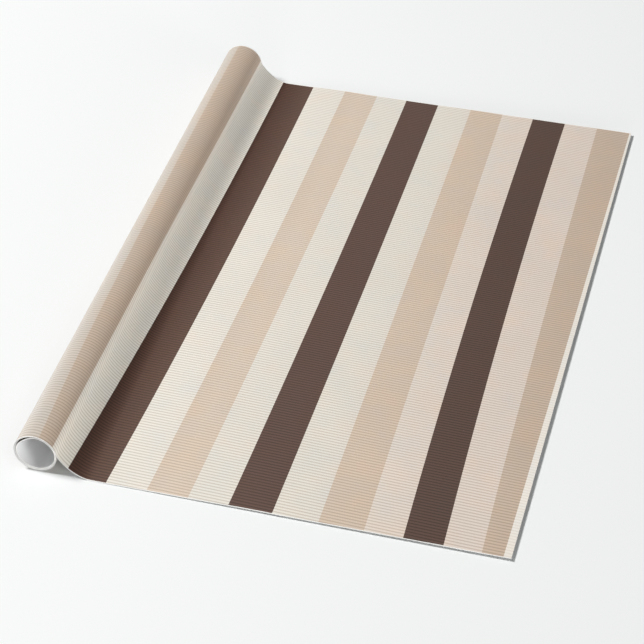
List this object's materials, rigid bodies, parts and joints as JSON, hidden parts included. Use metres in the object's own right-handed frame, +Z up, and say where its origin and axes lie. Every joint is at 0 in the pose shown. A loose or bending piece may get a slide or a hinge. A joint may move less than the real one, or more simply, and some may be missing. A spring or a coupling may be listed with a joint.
{
  "type": "wrapping paper roll",
  "caption": "Partly unrolled roll of striped gift wrap: flat sheet, curved lead-off, wound turns and a loose spiral-wound board tube.",
  "frame": {"origin": "centre of the footprint, on the surface that the paper lies on", "axes": "+Y along the roll's axis towards the far end, +X from the roll towards the free edge of the paper, +Z up"},
  "size_m": [0.5272, 0.762, 0.0476],
  "materials": {
    "printed_paper": "matte paper printed in even stripes of dark brown, cream and tan, with fine raised ribs",
    "wound_paper": "the same printed paper wound up, white on its back and at its cut edges",
    "core_board": "matte light grey paperboard",
    "core_liner": "matte white liner paper"
  },
  "bodies": {
    "lead_off": {"lead_off_curve": "printed_paper", "outer_turn": "printed_paper"},
    "sheet": {"flat_sheet": "printed_paper"},
    "roll": {"wound_turns": "wound_paper"},
    "core": {"core_board_ply": "core_board", "core_inner_ply": "core_liner", "core_outer_ply": "core_board"}
  },
  "joints": [
    {"name": "sheet_pull", "type": "slide", "parent": "lead_off", "child": "sheet", "axis": [1, 0, 0], "range_m": [-0.28, 0.85]},
    {"name": "roll_spin", "type": "hinge", "parent": "lead_off", "child": "roll", "pos_m": [-0.23995, 0, 0.024], "axis": [0, 1, 0], "range_deg": [-690, 2080]},
    {"name": "core_slide", "type": "slide", "parent": "roll", "child": "core", "axis": [0, -1, 0], "range_m": [-0.78, 0.78]}
  ],
  "couplings": [
    {"joint": "roll_spin", "follows": "sheet_pull", "rad_per_m": 42.37}
  ]
}
